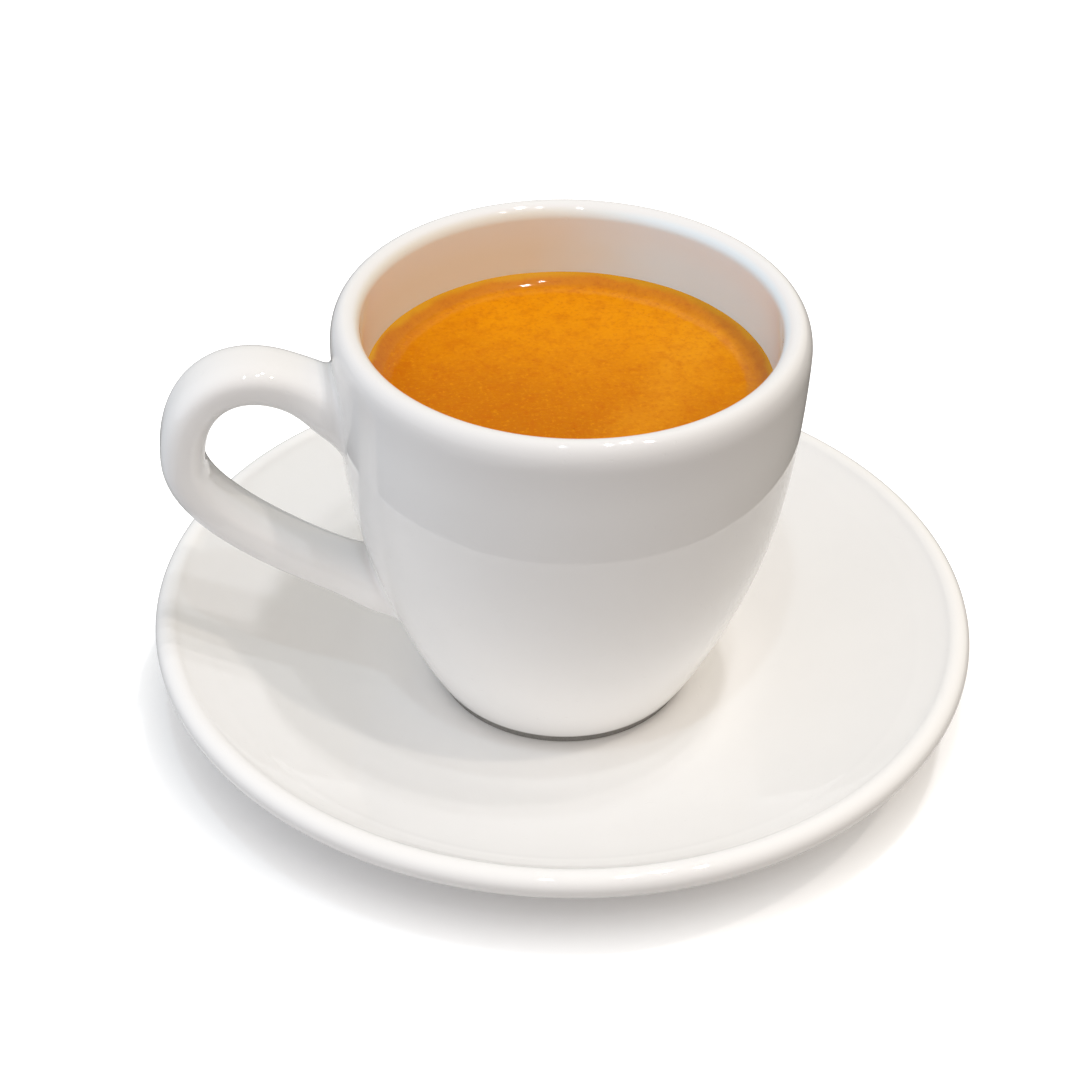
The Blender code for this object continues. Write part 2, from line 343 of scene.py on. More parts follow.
def fillet(s_wall, s_start, angle, size):
    """Rows of points that lead each line onto the wall.

    Each is a quadratic Bezier from the line's last free point, by the point where the line would
    enter the wall, to a point on the wall one fillet away from the strap.
    """
    start, corner = strap(s_start, angle), strap(s_wall, angle)
    middle = corner.mean(axis=0)
    slope = (outer_radius(corner[:, 2] + SLOPE_STEP) - outer_radius(corner[:, 2])) / SLOPE_STEP
    reach = np.hypot(corner[:, 0], corner[:, 1])
    normal = np.stack([corner[:, 0] / reach, corner[:, 1] / reach, -slope], axis=1)
    normal /= np.linalg.norm(normal, axis=1, keepdims=True)
    away = corner - middle
    away -= (away * normal).sum(axis=1, keepdims=True) * normal
    away /= np.linalg.norm(away, axis=1, keepdims=True)
    end = corner + away * size
    end[:, :2] *= ((outer_radius(end[:, 2]) - SINK) / np.hypot(end[:, 0], end[:, 1]))[:, None]
    t = np.linspace(0.0, 1.0, FILLET_STATIONS)[1:, None, None]
    return (1 - t) ** 2 * start + 2 * t * (1 - t) * corner + t**2 * end


# %% Loft the handle
line_angle = np.linspace(0.0, 2 * np.pi, STRAP_LINES, endpoint=False)
upper_wall = stop_at(0.0, *UPPER_SEARCH, line_angle)
upper_free = stop_at(UPPER_FILLET, *UPPER_SEARCH, line_angle)
lower_wall = stop_at(0.0, *LOWER_SEARCH, line_angle)
lower_free = stop_at(LOWER_FILLET, *LOWER_SEARCH, line_angle)
share = np.linspace(0.0, 1.0, STRAP_STATIONS)[:, None]
every_angle = np.broadcast_to(line_angle, (STRAP_STATIONS, STRAP_LINES))
free = strap(upper_free + (lower_free - upper_free) * share, every_angle)
upper_joint = fillet(upper_wall, upper_free, line_angle, UPPER_FILLET)[::-1]
lower_joint = fillet(lower_wall, lower_free, line_angle, LOWER_FILLET)
rows = np.concatenate([upper_joint, free, lower_joint])
caps = np.stack([rows[0].mean(axis=0), rows[-1].mean(axis=0)]) - (CAP_DEPTH, 0.0, 0.0)
handle_points = np.concatenate([rows.reshape(-1, 3), caps])
handle_points = handle_points * (-1.0, 1.0, 1.0) + (0.0, 0.0, CUP_STAND)
last_ring = np.arange(STRAP_LINES) + (len(rows) - 1) * STRAP_LINES
handle_quads = grid_faces(len(rows), STRAP_LINES)
handle_tris = np.concatenate(
    [
        fan_faces(np.arange(STRAP_LINES), len(handle_points) - 2, False),
        fan_faces(last_ring, len(handle_points) - 1, True),
    ]
)
print("handle", len(handle_points), "points, reach", round(-handle_points[:, 0].min() / MM, 2), "mm")

# %% Join body and handle
cup = build(
    "espresso_cup",
    np.concatenate([body_points, handle_points]),
    np.concatenate([body_quads, handle_quads + len(body_points)]),
    np.concatenate([body_tris, handle_tris + len(body_points)]),
)

# %% [markdown]
# ## The saucer
# The saucer is pressed in a mould: a flat well that the cup stands in, a dish that steepens
# outwards, a faint ring that the tool left, and a raised lip. The ring is a few hundredths of a
# millimetre high, but on a glossy glaze the eye can still find it.

# %% Saucer sizes
SAUCER_RADIUS = SAUCER_HIGH.y
WELL_RADIUS = 22.0 * MM
WELL_HEIGHT = 5.5 * MM
SAUCER_THICKNESS = 4.8 * MM
SAUCER_LIP_ROUND = 1.9 * MM
SAUCER_LIP_HEIGHT = SAUCER_HIGH.z
SAUCER_LIP_STEP = 1.0 * MM
SAUCER_LIP_JOIN = 1.2 * MM
DISH_CURVE = 1.6
LIP_UNDERCUT = math.radians(62)
SAUCER_FOOT_RADIUS = 33.0 * MM
SAUCER_RECESS = 1.5 * MM
TOOL_RING_RADIUS = 52.6 * MM
TOOL_RING_WIDTH = 0.7 * MM
TOOL_RING_RISE = 0.03 * MM
SAUCER_STEPS = 400
WELL_POINTS = 12
DISH_POINTS = 110
JOIN_POINTS = 14
SAUCER_LIP_POINTS = 30
UNDER_POINTS = 40
LIP_FOOT = SAUCER_RADIUS - 2 * SAUCER_LIP_ROUND


def dish_height(radius):
    """The upper side: well + rise ((r - well radius) / (lip foot - well radius))^1.6."""
    share = np.maximum(radius - WELL_RADIUS, 0.0) / (LIP_FOOT - WELL_RADIUS)
    return WELL_HEIGHT + (SAUCER_LIP_HEIGHT - SAUCER_LIP_STEP - WELL_HEIGHT) * share**DISH_CURVE


def tool_ring(radius):
    """A bell-shaped ridge, rise * exp(-((r - ring) / width)^2)."""
    return TOOL_RING_RISE * np.exp(-(((radius - TOOL_RING_RADIUS) / TOOL_RING_WIDTH) ** 2))


def soft_join(dish, lip):
    """The corner between dish and lip drawn soft, with its control point where their tangents meet."""
    slope = (dish[-1] - dish[-2]) / np.linalg.norm(dish[-1] - dish[-2])
    leave = (lip[1] - lip[0]) / np.linalg.norm(lip[1] - lip[0])
    along = np.linalg.solve(np.stack([slope, -leave], axis=1), lip[0] - dish[-1])[0]
    return rounded(dish[-1], dish[-1] + along * slope, lip[0], JOIN_POINTS)[1:-1]


def saucer_profile():
    """Well, dish with its ring, lip, underside, bare foot ring and the recess."""
    flat = np.linspace(0.0, WELL_RADIUS, WELL_POINTS)[:-1]
    well = np.stack([flat, np.full_like(flat, WELL_HEIGHT)], axis=1)
    radius = np.linspace(WELL_RADIUS, LIP_FOOT - SAUCER_LIP_JOIN, DISH_POINTS)
    dish = np.stack([radius, dish_height(radius) + tool_ring(radius)], axis=1)
    centre = (SAUCER_RADIUS - SAUCER_LIP_ROUND, SAUCER_LIP_HEIGHT - SAUCER_LIP_ROUND)
    start = np.pi - math.asin(1 - SAUCER_LIP_STEP / SAUCER_LIP_ROUND)
    start -= SAUCER_LIP_JOIN / (2 * SAUCER_LIP_ROUND)
    lip = arc(centre, SAUCER_LIP_ROUND, start, -LIP_UNDERCUT, SAUCER_LIP_POINTS)
    edge = chain(dish, soft_join(dish, lip), lip)
    low = np.linspace(LIP_FOOT - SAUCER_LIP_ROUND, SAUCER_FOOT_RADIUS + FOOT_ROUND, UNDER_POINTS)
    below = np.stack([low, dish_height(low) - SAUCER_THICKNESS], axis=1)
    inside = SAUCER_FOOT_RADIUS - FOOT_WIDTH
    sole_start = (SAUCER_FOOT_RADIUS - FOOT_ROUND, 0.0)
    foot = rounded(below[-1], (SAUCER_FOOT_RADIUS, 0.0), sole_start, FOOT_POINTS)
    sole = np.array([(inside + FOOT_ROUND, 0.0)])
    recess = rounded(sole[0], (inside, 0.0), (inside, FOOT_ROUND), SOLE_POINTS)
    return chain(well, edge, below, foot, sole, recess, ceiling(inside, SAUCER_RECESS))


saucer = build("espresso_saucer", *turned(saucer_profile(), SAUCER_STEPS))

# %% [markdown]
# ## The espresso
# Crema is a foam of very small bubbles on the coffee. It creeps up the wall in a meniscus, and
# larger bubbles gather at the edge and burst last. The surface is a fine polar grid with its
# relief in the mesh: the meniscus, slow waves, and bubble domes. The liquid reaches just into
# the wall, because a real drink leaves no gap there.

# %% Coffee sizes
COFFEE_LEVEL = 49.4 * MM
MENISCUS_WIDTH = 3.2 * MM
MENISCUS_STRAIGHT = 1.1 * MM
MENISCUS_SLOPE = 0.74
MENISCUS_RISE = MENISCUS_SLOPE * (MENISCUS_WIDTH + MENISCUS_STRAIGHT) / 2
CONTACT_HEIGHT = COFFEE_LEVEL + MENISCUS_RISE
WALL_OVERLAP = 0.15 * MM
COFFEE_STEPS = 384
COFFEE_RINGS = 150
COFFEE_WALL_POINTS = 40
RING_CROWDING = 0.8
# Slow waves: a height, radians per metre along X, within the bend and along Y, and where they start
WAVE_HEIGHT = 0.02 * MM
WAVES = (420.0, 310.0, 360.0)
WAVE_BEND = 1.3
WAVE_START = 0.7
LOBE_HEIGHT = 0.012 * MM
LOBES = 7
LOBE_START = 2.0
BUBBLE_COUNT = 90
BUBBLE_SEED = 11
BUBBLE_CLEAR = 0.3 * MM
BUBBLE_SPREAD = (1.6, 0.9 * MM)
BUBBLE_SIZES = (0.08 * MM, 0.20 * MM)
BUBBLE_DOME = 0.45


def coffee_surface(x, y, edge):
    """Height above the still level: the meniscus, slow waves and bubble domes.

    The meniscus's slope grows by a smooth step, so its height is slope * bend * (u^3 - u^4 / 2),
    where u runs from 0 to 1 over the bend, and then a straight line up to the wall.
    """
    radius = np.hypot(x, y)
    angle = np.arctan2(y, x)
    bend = MENISCUS_WIDTH - MENISCUS_STRAIGHT
    turn = np.clip((MENISCUS_WIDTH - edge + radius) / bend, 0.0, 1.0)
    straight = np.maximum(MENISCUS_STRAIGHT - edge + radius, 0.0)
    rise = MENISCUS_SLOPE * (bend * (turn**3 - turn**4 / 2) + straight)
    bent = x * WAVES[0] + WAVE_BEND * np.sin(y * WAVES[1])
    wave = WAVE_HEIGHT * np.sin(bent) * np.sin(y * WAVES[2] + WAVE_START)
    wave += LOBE_HEIGHT * np.sin(LOBES * angle + LOBE_START) * (radius / edge) ** 3
    rng = np.random.default_rng(BUBBLE_SEED)
    place = rng.uniform(0.0, 2 * np.pi, BUBBLE_COUNT)
    out = edge - rng.gamma(*BUBBLE_SPREAD, BUBBLE_COUNT) - BUBBLE_CLEAR
    size = rng.uniform(*BUBBLE_SIZES, BUBBLE_COUNT)
    for cx, cy, r in zip(out * np.cos(place), out * np.sin(place), size):
        gap = ((x - cx) ** 2 + (y - cy) ** 2) / r**2
        rise = rise + BUBBLE_DOME * r * np.sqrt(np.maximum(1 - gap, 0.0))
    return rise + wave


edge_radius = float(inner_radius(CONTACT_HEIGHT)) + WALL_OVERLAP
ring_share = np.linspace(0.0, 1.0, COFFEE_RINGS)[1:] ** RING_CROWDING
turn_angle = np.linspace(0.0, 2 * np.pi, COFFEE_STEPS, endpoint=False)
top_x = edge_radius * ring_share[:, None] * np.cos(turn_angle)
top_y = edge_radius * ring_share[:, None] * np.sin(turn_angle)
top_z = COFFEE_LEVEL + coffee_surface(top_x, top_y, edge_radius)
sunk = inner_wall(CONTACT_HEIGHT, COFFEE_WALL_POINTS)[::-1][:-1] + (WALL_OVERLAP, -WALL_OVERLAP)
side_x = sunk[:, 0][:, None] * np.cos(turn_angle)
side_y = sunk[:, 0][:, None] * np.sin(turn_angle)
side_z = np.repeat(sunk[:, 1][:, None], COFFEE_STEPS, axis=1)
coffee_rows = np.concatenate(
    [np.stack([top_x, top_y, top_z], axis=-1), np.stack([side_x, side_y, side_z], axis=-1)]
)
centre_z = COFFEE_LEVEL + float(coffee_surface(np.zeros(1), np.zeros(1), edge_radius)[0])
coffee_points = np.concatenate(
    [coffee_rows.reshape(-1, 3), [[0.0, 0.0, centre_z], [0.0, 0.0, FLOOR_HEIGHT - WALL_OVERLAP]]]
) + (0.0, 0.0, CUP_STAND)
coffee_last = np.arange(COFFEE_STEPS) + (len(coffee_rows) - 1) * COFFEE_STEPS
espresso = build(
    "espresso_crema",
    coffee_points,
    grid_faces(len(coffee_rows), COFFEE_STEPS)[:, ::-1],
    np.concatenate(
        [
            fan_faces(np.arange(COFFEE_STEPS), len(coffee_points) - 2, True),
            fan_faces(coffee_last, len(coffee_points) - 1, False),
        ]
    ),
)

# %% [markdown]
# ## Node groups
# Three effects serve both pieces of porcelain: the glaze's skin, which is never quite flat nor
# quite one white, the bare clay where glaze is wiped off the foot, coloured dark as painted contact
# shade, and painted shade towards the cup's lip with painted light low down and under the saucer's lip.
# Each is a group with named inputs, so that cup and saucer share the recipe and differ only in
# their values. Scales of noise are in cycles per metre, and limits are the ends of a smooth step.

# %% Tools for nodes
FLOAT = "NodeSocketFloat"
COLOUR = "NodeSocketColor"


def new_group(name, inputs, outputs):
    """An empty shader node group and its two end nodes.

    Its first input is the vector that its textures read. The others have a default, a number or
    a colour each.
    """
    tree = bpy.data.node_groups.new(name, "ShaderNodeTree")
    tree.interface.new_socket("Vector", in_out="INPUT", socket_type="NodeSocketVector")
    for socket, default in inputs.items():
        kind = COLOUR if isinstance(default, tuple) else FLOAT
        tree.interface.new_socket(socket, in_out="INPUT", socket_type=kind).default_value = default
    for socket, kind in outputs.items():
        tree.interface.new_socket(socket, in_out="OUTPUT", socket_type=kind)
    return tree, tree.nodes.new("NodeGroupInput"), tree.nodes.new("NodeGroupOutput")


def noise(tree, vector, scale, detail, roughness=0.5):
    """A noise texture that reads the given vector, with scale in cycles per metre."""
    node = tree.nodes.new("ShaderNodeTexNoise")
    node.inputs["Detail"].default_value = detail
    node.inputs["Roughness"].default_value = roughness
    tree.links.new(vector, node.inputs["Vector"])
    if isinstance(scale, bpy.types.NodeSocket):
        tree.links.new(scale, node.inputs["Scale"])
    else:
        node.inputs["Scale"].default_value = scale
    return node.outputs["Fac"]


def maths(tree, operation, first, second=0.0, third=0.0):
    """One Math node. Each operand is a number or a socket."""
    node = tree.nodes.new("ShaderNodeMath")
    node.operation = operation
    for i, value in enumerate((first, second, third)):
        if isinstance(value, bpy.types.NodeSocket):
            tree.links.new(value, node.inputs[i])
        else:
            node.inputs[i].default_value = value
    return node.outputs[0]


def remap(tree, value, low, high, to_low, to_high):
    """A Map Range node with a smooth step from low to high."""
    node = tree.nodes.new("ShaderNodeMapRange")
    node.interpolation_type = "SMOOTHSTEP"
    tree.links.new(value, node.inputs["Value"])
    for key, number in (("From Min", low), ("From Max", high), ("To Min", to_low), ("To Max", to_high)):
        if isinstance(number, bpy.types.NodeSocket):
            tree.links.new(number, node.inputs[key])
        else:
            node.inputs[key].default_value = number
    return node.outputs["Result"]


def from_axis(tree, vector, centre=(0.0, 0.0)):
    """Distance from an upright line, as the length of (x - cx, y - cy), and the three coordinates."""
    split = tree.nodes.new("ShaderNodeSeparateXYZ")
    tree.links.new(vector, split.inputs["Vector"])
    across = maths(tree, "SUBTRACT", split.outputs["X"], centre[0])
    along = maths(tree, "SUBTRACT", split.outputs["Y"], centre[1])
    squares = maths(tree, "MULTIPLY_ADD", across, across, maths(tree, "MULTIPLY", along, along))
    return maths(tree, "SQRT", squares), split.outputs


def blend(tree, factor, first, second):
    """The second colour mixed over the first by a factor. Each is a plain value or a socket."""
    node = tree.nodes.new("ShaderNodeMix")
    node.data_type = "RGBA"
    for i, value in ((0, factor), (6, first), (7, second)):
        if isinstance(value, bpy.types.NodeSocket):
            tree.links.new(value, node.inputs[i])
        else:
            node.inputs[i].default_value = value
    return node.outputs[2]


# %% Glaze group
POOL_SCALE = 45.0
POOL_LIMITS = (0.35, 0.75)
SLOW_SCALE = 60.0
SLOW_WEIGHT = 1.5
PINHOLE_SCALE = 1400.0
PINHOLE_LIMITS = (0.80, 0.84)
PINHOLE_WEIGHT = -0.8
DULL_SCALE = 300.0
DULL_LIMITS = (0.4, 0.9)
DULL_MOST = 0.03


def glaze_group():
    """Glaze skin: two slow tones, an orange-peel ripple and a few pinholes."""
    tree, source, sink = new_group(
        "glaze_skin",
        {
            "White": (0.8, 0.8, 0.8, 1.0),
            "Pooled": (0.75, 0.76, 0.76, 1.0),
            "Ripple Scale": 180.0,
            "Gloss Roughness": 0.06,
        },
        {"Color": COLOUR, "Roughness": FLOAT, "Height": FLOAT},
    )
    vector = source.outputs["Vector"]
    pool = remap(tree, noise(tree, vector, POOL_SCALE, 3.0), *POOL_LIMITS, 0.0, 1.0)
    colour = blend(tree, pool, source.outputs["White"], source.outputs["Pooled"])
    ripple = noise(tree, vector, source.outputs["Ripple Scale"], 1.0)
    slow = noise(tree, vector, SLOW_SCALE, 0.0)
    pinholes = remap(tree, noise(tree, vector, PINHOLE_SCALE, 0.0), *PINHOLE_LIMITS, 0.0, 1.0)
    height = maths(tree, "MULTIPLY_ADD", slow, SLOW_WEIGHT, ripple)
    height = maths(tree, "MULTIPLY_ADD", pinholes, PINHOLE_WEIGHT, height)
    dulled = remap(tree, noise(tree, vector, DULL_SCALE, 4.0), *DULL_LIMITS, 0.0, DULL_MOST)
    rough = maths(tree, "ADD", source.outputs["Gloss Roughness"], dulled)
    tree.links.new(colour, sink.inputs["Color"])
    tree.links.new(rough, sink.inputs["Roughness"])
    tree.links.new(height, sink.inputs["Height"])
    return tree


GLAZE = glaze_group()
print("glaze group", len(GLAZE.nodes), "nodes")

# %% Bare clay and painted contact shade group
WIPE_SCALE = 260.0
WIPE_RAGGED = 0.2 * MM
CLAY_SCALE = 2600.0
# Dark greys for the bare foot ring: painted contact shade under the heel, over the clay's grain
CLAY_SHADE_DARK = (0.17, 0.165, 0.155, 1.0)
CLAY_SHADE_LIGHT = (0.34, 0.33, 0.31, 1.0)


def bare_clay_shade_group():
    """Where the foot is wiped bare: a mask below a height with a ragged edge, and the clay's grain in dark
    greys that are painted contact shade.
    """
    tree, source, sink = new_group(
        "bare_clay_shade",
        {"Line Height": 0.4 * MM, "Ring Inside": 30.0 * MM, "Ring Outside": 34.0 * MM},
        {"Mask": FLOAT, "Color": COLOUR, "Height": FLOAT},
    )
    vector = source.outputs["Vector"]
    radius, place = from_axis(tree, vector)
    ragged = maths(tree, "MULTIPLY", noise(tree, vector, WIPE_SCALE, 4.0), WIPE_RAGGED)
    height = maths(tree, "ADD", place["Z"], ragged)
    low = maths(tree, "LESS_THAN", height, source.outputs["Line Height"])
    beyond = maths(tree, "GREATER_THAN", radius, source.outputs["Ring Inside"])
    within = maths(tree, "LESS_THAN", radius, source.outputs["Ring Outside"])
    mask = maths(tree, "MULTIPLY", low, maths(tree, "MULTIPLY", beyond, within))
    grain = noise(tree, vector, CLAY_SCALE, 5.0, 0.7)
    colour = blend(tree, grain, CLAY_SHADE_DARK, CLAY_SHADE_LIGHT)
    tree.links.new(mask, sink.inputs["Mask"])
    tree.links.new(colour, sink.inputs["Color"])
    tree.links.new(grain, sink.inputs["Height"])
    return tree


BARE_CLAY_SHADE = bare_clay_shade_group()
print("bare clay and shade group", len(BARE_CLAY_SHADE.nodes), "nodes")

# %% [markdown]
# Painted shade and painted light, by height and radius: towards its lip the cup is painted a little
# greyer, as painted shade, and low on the cup's wall, in the saucer's well and under its lip the
# glaze is painted lighter, as painted light.

# %% Painted shade and light group
PAINTED_EDGE_SCALE = 90.0
PAINTED_EDGE_RAGGED = 0.6 * MM


def painted_shade_and_light_group():
    """Two masks by height and radius: painted shade towards the lip, painted light towards the foot and
    under the rim.
    """
    tree, source, sink = new_group(
        "painted_shade_and_light",
        {
            "Thin Start": 50.0 * MM,
            "Thin End": 60.0 * MM,
            "Thick Start": 20.0 * MM,
            "Thick End": 6.0 * MM,
            "Rim Start": 200.0 * MM,
            "Rim End": 210.0 * MM,
        },
        {"Shaded": FLOAT, "Brightened": FLOAT},
    )
    get = source.outputs
    radius, place = from_axis(tree, get["Vector"])
    ragged = noise(tree, get["Vector"], PAINTED_EDGE_SCALE, 2.0)
    wander = maths(tree, "MULTIPLY_ADD", ragged, PAINTED_EDGE_RAGGED, place["Z"])
    # Painted shade towards the lip, then painted light low down and under the rim
    lip_shade = remap(tree, wander, get["Thin Start"], get["Thin End"], 0.0, 1.0)
    low = remap(tree, wander, get["Thick Start"], get["Thick End"], 0.0, 1.0)
    rim = remap(tree, radius, get["Rim Start"], get["Rim End"], 0.0, 1.0)
    rim = maths(tree, "MULTIPLY", rim, maths(tree, "SUBTRACT", 1.0, lip_shade))
    tree.links.new(lip_shade, sink.inputs["Shaded"])
    tree.links.new(maths(tree, "MAXIMUM", low, rim), sink.inputs["Brightened"])
    return tree


PAINTED_SHADE_AND_LIGHT = painted_shade_and_light_group()
print("painted shade and light group", len(PAINTED_SHADE_AND_LIGHT.nodes), "nodes")

# %% [markdown]
# ## Porcelain
# Glazed porcelain is a white, matt body under clear glass. The Principled shader gives both: its
# base is the body, and a low roughness is the glass. A full white would swallow the soft shadows
# that show the form, so the base stays a little below it, and is painted lower still on the cup's
# lip as shade.

# %% Porcelain material
CLAY_ROUGHNESS = 0.85
CLAY_RELIEF = 6.0
GLAZE_RELIEF = 0.012 * MM
GLAZE_IOR = 1.52


def use_group(tree, group, **values):
    """One copy of a group in a material's tree, with its own plain values."""
    node = tree.nodes.new("ShaderNodeGroup")
    node.node_tree = group
    for key, value in values.items():
        node.inputs[key.replace("_", " ")].default_value = value
    return node


def new_material(name):
    """A node material, its tree, its Principled shader and Object coordinates."""
    material = bpy.data.materials.new(name)
    material.use_nodes = True
    tree = material.node_tree
    coordinates = tree.nodes.new("ShaderNodeTexCoord").outputs["Object"]
    return material, tree, tree.nodes["Principled BSDF"], coordinates


def bump(tree, height, distance):
    """A Bump node whose height of 1 stands for this many metres."""
    node = tree.nodes.new("ShaderNodeBump")
    node.inputs["Strength"].default_value = 1.0
    node.inputs["Distance"].default_value = distance
    tree.links.new(height, node.inputs["Height"])
    return node.outputs["Normal"]


def porcelain(name, white, pooled, lip_shade, low_light, roughness, bare, shade_and_light_values):
    """Glaze with painted shade towards the lip and painted light below, and bare clay on the foot ring in
    dark greys that are painted contact shade.
    """
    material, tree, shader, coordinates = new_material(name)
    skin = use_group(tree, GLAZE, White=white, Pooled=pooled, Gloss_Roughness=roughness)
    clay_and_shade = use_group(tree, BARE_CLAY_SHADE, **bare)
    shade_and_light_masks = use_group(tree, PAINTED_SHADE_AND_LIGHT, **shade_and_light_values)
    for node in (skin, clay_and_shade, shade_and_light_masks):
        tree.links.new(coordinates, node.inputs["Vector"])
    # The bare foot ring's dark greys are painted contact shade
    mask = clay_and_shade.outputs["Mask"]
    # Painted shade towards the lip, then painted light low down and under the saucer's lip
    glaze = blend(tree, shade_and_light_masks.outputs["Shaded"], skin.outputs["Color"], lip_shade)
    glaze = blend(tree, shade_and_light_masks.outputs["Brightened"], glaze, low_light)
    tree.links.new(blend(tree, mask, glaze, clay_and_shade.outputs["Color"]), shader.inputs["Base Color"])
    matt = maths(tree, "MULTIPLY", mask, CLAY_ROUGHNESS)
    rough = maths(tree, "MAXIMUM", skin.outputs["Roughness"], matt)
    tree.links.new(rough, shader.inputs["Roughness"])
    grain = maths(tree, "MULTIPLY", mask, clay_and_shade.outputs["Height"])
    height = maths(tree, "MULTIPLY_ADD", grain, CLAY_RELIEF, skin.outputs["Height"])
    tree.links.new(bump(tree, height, GLAZE_RELIEF), shader.inputs["Normal"])
    shader.inputs["IOR"].default_value = GLAZE_IOR
    return material


# Painted shade on the cup's inner wall: warm tan on the left and behind, cool grey on the right
INNER_WARM_SHADE = (0.735, 0.695, 0.57, 1.0)
INNER_COOL_SHADE = (0.69, 0.86, 0.96, 1.0)
INNER_SHADE_EDGE = CUP_RADIUS - 3.0 * MM
INNER_SHADE_SOFT = 0.9 * MM
INNER_SHADE_LOW = CUP_STAND + 40.0 * MM
INNER_SHADE_RISE = 1.0 * MM
INNER_SHADE_TOP = CUP_HIGH.z - 2.5 * MM
INNER_SHADE_FADE = 5.0 * MM
INNER_SHADE_AT_LIP = 0.65
INNER_SHADE_SCALE = 120.0
INNER_SHADE_RAGGED = 6.0 * MM
INNER_SHADE_TURN = 22.0 * MM


def paint_inner_shade(material):
    """Painted shade on the inner wall: tan on the left and behind, cool on the right, weak at the lip.

    Its mask is the product of smooth steps: near enough to the axis, high enough, and below the lip.
    """
    tree = material.node_tree
    shader = tree.nodes["Principled BSDF"]
    glaze = shader.inputs["Base Color"].links[0].from_socket
    coordinates = tree.nodes.new("ShaderNodeTexCoord").outputs["Object"]
    radius, place = from_axis(tree, coordinates)
    near = remap(tree, radius, INNER_SHADE_EDGE, INNER_SHADE_EDGE - INNER_SHADE_SOFT, 0.0, 1.0)
    high = remap(tree, place["Z"], INNER_SHADE_LOW, INNER_SHADE_LOW + INNER_SHADE_RISE, 0.0, 1.0)
    fade = remap(tree, place["Z"], INNER_SHADE_TOP, INNER_SHADE_TOP - INNER_SHADE_FADE, INNER_SHADE_AT_LIP, 1.0)
    ragged = noise(tree, coordinates, INNER_SHADE_SCALE, 2.0)
    drift = maths(tree, "MULTIPLY_ADD", ragged, INNER_SHADE_RAGGED, place["X"])
    # The film here is the painted shade's colour, from tan on the left to cool on the right
    film = blend(tree, remap(tree, drift, 0.0, INNER_SHADE_TURN, 0.0, 1.0), INNER_WARM_SHADE, INNER_COOL_SHADE)
    strength = maths(tree, "MULTIPLY", fade, maths(tree, "MULTIPLY", near, high))
    tree.links.new(blend(tree, strength, glaze, film), shader.inputs["Base Color"])


# Each glaze: its white, where it pools, its painted shade towards the lip and its painted light low down
CUP_TONES = (
    (0.88, 0.875, 0.865, 1.0),
    (0.865, 0.86, 0.85, 1.0),
    (0.79, 0.78, 0.77, 1.0),
    (0.94, 0.935, 0.925, 1.0),
)
SAUCER_TONES = (
    (0.88, 0.87, 0.855, 1.0),
    (0.865, 0.855, 0.84, 1.0),
    (0.88, 0.87, 0.855, 1.0),
    (0.92, 0.91, 0.895, 1.0),
)
GLOSS = 0.02
BARE_INSIDE = 0.5 * MM
BARE_OUTSIDE = 0.15 * MM
SAUCER_BARE_OUTSIDE = 0.2 * MM
cup_glaze = porcelain(
    "cup_glaze",
    *CUP_TONES,
    GLOSS,
    {
        "Line_Height": CUP_STAND + HEEL_UNDER + 0.1 * MM,
        "Ring_Inside": FOOT_RADIUS - FOOT_WIDTH - BARE_INSIDE,
        "Ring_Outside": FOOT_RADIUS + BARE_OUTSIDE,
    },
    {
        "Thin_Start": CUP_STAND + 50.0 * MM,
        "Thin_End": CUP_STAND + 60.0 * MM,
        "Thick_Start": CUP_STAND + 20.0 * MM,
        "Thick_End": CUP_STAND + 6.0 * MM,
    },
)
saucer_glaze = porcelain(
    "saucer_glaze",
    *SAUCER_TONES,
    GLOSS,
    {
        "Line_Height": 0.45 * MM,
        "Ring_Inside": SAUCER_FOOT_RADIUS - FOOT_WIDTH - BARE_INSIDE,
        "Ring_Outside": SAUCER_FOOT_RADIUS + SAUCER_BARE_OUTSIDE,
    },
    {
        "Thin_Start": SAUCER_LIP_HEIGHT - 1.6 * MM,
        "Thin_End": SAUCER_LIP_HEIGHT - 0.6 * MM,
        "Thick_Start": 8.0 * MM,
        "Thick_End": 6.0 * MM,
        "Rim_Start": SAUCER_RADIUS - 1.8 * MM,
        "Rim_End": SAUCER_RADIUS - 0.8 * MM,
    },
)
paint_inner_shade(cup_glaze)
cup.data.materials.append(cup_glaze)
saucer.data.materials.append(saucer_glaze)
print("porcelain", cup_glaze.name, saucer_glaze.name)

# %% [markdown]
# ## Crema
# Crema is light orange-brown foam over dark coffee. Its bubbles are too small to see one by one, so
# it looks like velvet with slow clouds in it. Only a few larger bubbles and dark specks stand out.
# Beside the wall the foam thins to a yellow film, and just inside that a darker ring is painted as the
# shade of the steep meniscus. The colour therefore follows the distance from the wall, made ragged with
# noise. A pale stroke crosses the right side, where the last of the foam ran in.

# %% Crema colours
CREMA_DEEP = (0.545, 0.161, 0.0, 1.0)
CREMA_LIGHT = (0.765, 0.272, 0.0, 1.0)
CREMA_STROKE = (0.80, 0.325, 0.01, 1.0)
CREMA_GRAIN = (0.53, 0.118, 0.0, 1.0)
CREMA_PALE = (0.80, 0.33, 0.004, 1.0)
CREMA_FILM = (0.66, 0.315, 0.0, 1.0)
CREMA_RING_SHADE = (0.44, 0.128, 0.0, 1.0)
CREMA_SPECK = (0.30, 0.085, 0.0, 1.0)
FILM_WIDTH = 1.15 * MM
RING_MIDDLE = 1.7 * MM
RING_WIDTH = 3.3 * MM
RAGGED = 1.6 * MM
RING_SHADE_MOST = 0.45
FILM_MOST = 0.85
EDGE_SCALE = 190.0
